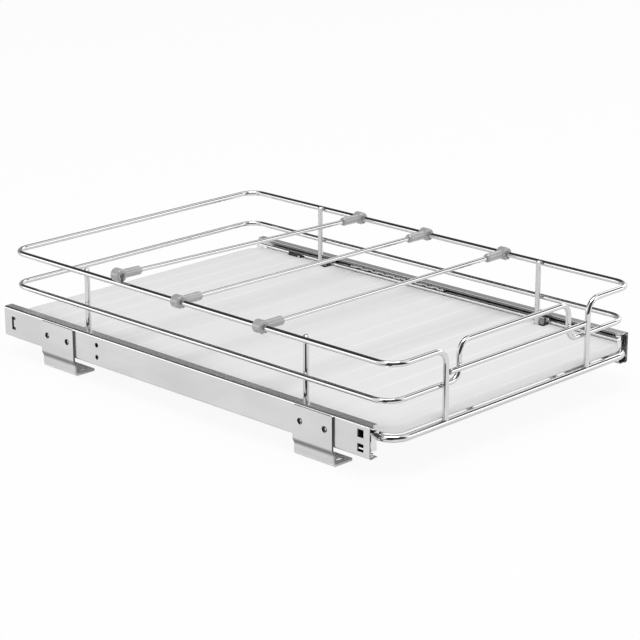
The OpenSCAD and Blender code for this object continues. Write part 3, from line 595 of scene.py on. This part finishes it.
# %% Grow the tips
TIP_RADIUS, TIP_RISE = 0.0011, 0.0004
SCREW_STEP = 0.01525
screw_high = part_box("rail_screws")[1]
screw_middle = middle_height("rail_screws")
tips = []
for bracket in ("left_bracket", "right_bracket"):
    for end in ("front_", "back_"):
        low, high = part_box(end + bracket)
        side = 1 if low.x > 0 else -1
        for step in (-1, 1):
            tip_y = (low.y + high.y) / 2 + step * SCREW_STEP
            tips.append((Vector((side * screw_high.x, tip_y, screw_middle)),
                         Vector((side, 0, 0)), TIP_RADIUS, TIP_RISE))
grow("screw_tips", bead_tree("screw_tips", ball_steel), bead_points("tip_points", tips),
     {"Roundness": 1.0}, "cabinet_side")

# %% [markdown]
# ## Rubber stops
#
# The lanced cut near the back end of each rail shows black in the photograph. A small block of
# black rubber behind the cut is a guess at what is there. It lies flat against the web, where the
# intermediate member runs clear of it. It has rounded corners and shallow ribs on its front
# edge, so its outline is drawn as a comb and given its thickness.

# %% Make the two stops
STOP_FROM, STOP_TO = 0.2418, 0.2582
STOP_HALF = 0.007
STOP_DEEP, STOP_SHALLOW = 0.1802, 0.1836
STOP_CORNER = 0.0015
STOP_RIBS = 4
RIB_DEPTH = 0.0008
RIB_EDGES = (0.35, 0.65)
STOP_ROUNDING = 0.0003


def stop_outline():
    """Corners of the block seen from the side, as Y and Z, with ribs on its front edge."""
    outline = []
    for y, z, start in ((STOP_TO - STOP_CORNER, STOP_HALF - STOP_CORNER, 0),
                        (STOP_FROM + STOP_CORNER, STOP_HALF - STOP_CORNER, 90)):
        outline += [(y + STOP_CORNER * math.cos(math.radians(start + step)),
                     z + STOP_CORNER * math.sin(math.radians(start + step)))
                    for step in (0, 30, 60, 90)]
    pitch = 2 * (STOP_HALF - STOP_CORNER) / STOP_RIBS
    for i in range(STOP_RIBS):
        top = STOP_HALF - STOP_CORNER - i * pitch
        outline += [(STOP_FROM + RIB_DEPTH, top - share * pitch) for share in RIB_EDGES]
        outline.append((STOP_FROM, top - pitch))
    outline += [(y, -z) for y, z in reversed(outline[:8])][1:]
    return outline


def rubber_stop(name, side):
    rail_middle = middle_height("right_outer_member")
    shape = bmesh.new()
    ring = [shape.verts.new((side * STOP_SHALLOW, y, rail_middle + z)) for y, z in stop_outline()]
    face = shape.faces.new(ring)
    pulled = bmesh.ops.extrude_face_region(shape, geom=[face])
    moved = [item for item in pulled["geom"] if isinstance(item, bmesh.types.BMVert)]
    bmesh.ops.translate(shape, verts=moved, vec=(side * (STOP_DEEP - STOP_SHALLOW), 0, 0))
    bmesh.ops.recalc_face_normals(shape, faces=shape.faces)
    mesh = bpy.data.meshes.new(name)
    shape.to_mesh(mesh)
    shape.free()
    mesh.materials.append(black_plastic)
    piece = bpy.data.objects.new(name, mesh)
    bpy.context.scene.collection.objects.link(piece)
    soften = piece.modifiers.new("soften", "BEVEL")
    soften.width = STOP_ROUNDING
    soften.segments = 2
    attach(piece, "cabinet_side")
    print(name, "has", len(mesh.polygons), "faces")


rubber_stop("left_rubber_stop", -1)
rubber_stop("right_rubber_stop", 1)

# %% [markdown]
# ## The studio
#
# The object stands on a plain pale floor in a white room. Chrome in an all-white room looks
# like milk, so a photographer hangs dark cards, called flags, where the metal can see them. One
# stands behind the tray and draws the dark stripe on top of the wires that run away from the
# camera, and a grey one under it gives the flat faces of the rails their tone. A band high on
# the right draws the fine dark line along the wires that cross in front. The last is the dark
# side of the room, where the camera stands, with two dark mats on the floor before it. Those
# show as black spots in the bends at the corners and as a fine stripe down a post. The flags
# are only seen in reflections: they give no shade, and the camera doesn't see them. Each one is
# given by its angles, because metal sees only the direction of a card.

# %% Floor
FLOOR_SIZE = 12.0
FLOOR_DROP = 0.0005
FLOOR_SHADE = 0.82
SEEN_WHITE = 0.93
MIRRORED_WHITE = 0.3


def backdrop(name, corners, panels):
    mesh = bpy.data.meshes.new(name)
    mesh.from_pydata(corners, [], panels)
    made = bpy.data.objects.new(name, mesh)
    bpy.context.scene.collection.objects.link(made)
    return made


def make_floor_finish():
    """Pale floor. The camera sees it nearly white, and metal sees more of its shade."""
    finish = Finish("studio_floor")
    matt = finish.node("ShaderNodeBsdfDiffuse", {}, {"Color": grey(FLOOR_SHADE)}).output(0)
    white = finish.node("ShaderNodeEmission", {}, {"Color": grey(1.0), "Strength": 1.0}).output(0)
    path = finish.node("ShaderNodeLightPath")
    straight = finish.maths("MAXIMUM", path.output("Is Camera Ray"),
                            path.output("Is Transmission Ray"))
    share = finish.maths("MAXIMUM", straight * SEEN_WHITE,
                         path.output("Is Glossy Ray") * MIRRORED_WHITE)
    both = finish.node("ShaderNodeMixShader", {}, {0: share, 1: matt, 2: white})
    finish.node("ShaderNodeOutputMaterial", {}, {"Surface": both.output(0)})
    return finish.material


half = FLOOR_SIZE / 2
corners = [(x * half, y * half, -FLOOR_DROP) for x, y in ((-1, -1), (1, -1), (1, 1), (-1, 1))]
floor = backdrop("studio_floor", corners, [(0, 1, 2, 3)])
floor.data.materials.append(make_floor_finish())

# %% Flags
FLAG_REACH = 4.0
FLAG_PANELS = 8
FLOOR_FLAG_LIFT = 0.002
BLACK_CLOTH = 0.05
GREY_CLOTH = 0.35


def make_flag_finish(shade):
    finish = Finish("flag_cloth")
    cloth = finish.node("ShaderNodeEmission", {}, {"Color": grey(shade), "Strength": 1.0})
    finish.node("ShaderNodeOutputMaterial", {}, {"Surface": cloth.output(0)})
    return finish.material


def card(name, shade, turns, inner, outer):
    """A dark card along an arc, between two edges that are given as (distance, height)."""
    corners = []
    for i in range(FLAG_PANELS + 1):
        turn = math.radians(turns[0] + (turns[1] - turns[0]) * i / FLAG_PANELS)
        corners += [(reach * math.cos(turn), reach * math.sin(turn), height)
                    for reach, height in (inner, outer)]
    panels = [(2 * i, 2 * i + 2, 2 * i + 3, 2 * i + 1) for i in range(FLAG_PANELS)]
    made = backdrop(name, corners, panels)
    made.data.materials.append(make_flag_finish(shade))
    made.visible_camera = False
    made.visible_diffuse = False
    made.visible_transmission = False
    made.visible_shadow = False


def flag(name, shade, turns, heights):
    """A standing card. Angles are in degrees: turns from +X, heights from level."""
    low, high = (FLAG_REACH * math.tan(math.radians(height)) for height in heights)
    card(name, shade, turns, (FLAG_REACH, low), (FLAG_REACH, high))


def floor_flag(name, shade, turns, nearest):
    """A card that lies on the floor, from the nearest distance out to the standing ones."""
    card(name, shade, turns, (nearest, FLOOR_FLAG_LIFT), (FLAG_REACH, FLOOR_FLAG_LIFT))


flag("flag_behind", BLACK_CLOTH, (34, 138), (24, 62))
flag("flag_behind_low", GREY_CLOTH, (30, 110), (2, 24))
flag("flag_right", BLACK_CLOTH, (-38, -8), (24, 45))
flag("flag_camera", BLACK_CLOTH, (-165, -72), (0, 62))
floor_flag("floor_flag_camera", BLACK_CLOTH, (-165, -128), 0.36)
floor_flag("floor_flag_front", BLACK_CLOTH, (-128, -72), 0.7)
print("flags stand", FLAG_REACH, "m away")

# %% [markdown]
# ## Light
#
# A large soft lamp overhead, a weaker one at the front right, two windows and a pale room. The
# windows stand where the rails and the posts mirror them, so they draw the long bright bands on
# the metal. The room is a plain white for the camera and for what metal reflects, and weaker as a
# light, so that the lamps can still give the parts a bright side and a shaded side.

# %% World
ROOM_LIGHT = 0.62
CLAMPED_SUM = {"operation": "ADD", "use_clamp": True}
world = bpy.data.worlds.new("white_room")
bpy.context.scene.world = world
world.use_nodes = True
room = world.node_tree
room.nodes.clear()
path = place_node(room, "ShaderNodeLightPath")
seen = place_node(room, "ShaderNodeMath", CLAMPED_SUM,
                  {0: path.outputs["Is Camera Ray"], 1: path.outputs["Is Glossy Ray"]})
both = place_node(room, "ShaderNodeMath", CLAMPED_SUM,
                  {0: seen.outputs[0], 1: path.outputs["Is Transmission Ray"]})
strength = place_node(room, "ShaderNodeMapRange", {},
                      {"Value": both.outputs[0], "To Min": ROOM_LIGHT, "To Max": 1.0})
background = place_node(room, "ShaderNodeBackground", {},
                        {"Color": grey(1.0), "Strength": strength.outputs[0]})
place_node(room, "ShaderNodeOutputWorld", {}, {"Surface": background.outputs[0]})
print("the room lights with a strength of", ROOM_LIGHT)


# %% Lamps
LAMP_AIM = Vector((0, 0, 0.05))


def lamp(name, place, size, power):
    data = bpy.data.lights.new(name, "AREA")
    data.shape = "RECTANGLE"
    data.size, data.size_y = size
    data.energy = power
    made = bpy.data.objects.new(name, data)
    made.location = place
    made.rotation_euler = (LAMP_AIM - Vector(place)).to_track_quat("-Z", "Y").to_euler()
    bpy.context.scene.collection.objects.link(made)
    print(name, "gives", power, "W")


lamp("key_lamp", (-0.3, -0.3, 2.35), (1.5, 1.1), 27)
lamp("fill_lamp", (2.3, -2.3, 0.9), (2.0, 0.9), 6.5)
lamp("right_window", (2.3, 0.1, 1.2), (1.2, 0.9), 5)
lamp("left_window", (-2.2, 1.98, 0.36), (1.3, 0.7), 4.3)

# %% [markdown]
# ## The look of the picture
#
# The standard view keeps greys as they were written.

# %% Finish
bpy.context.scene.view_settings.view_transform = "Standard"
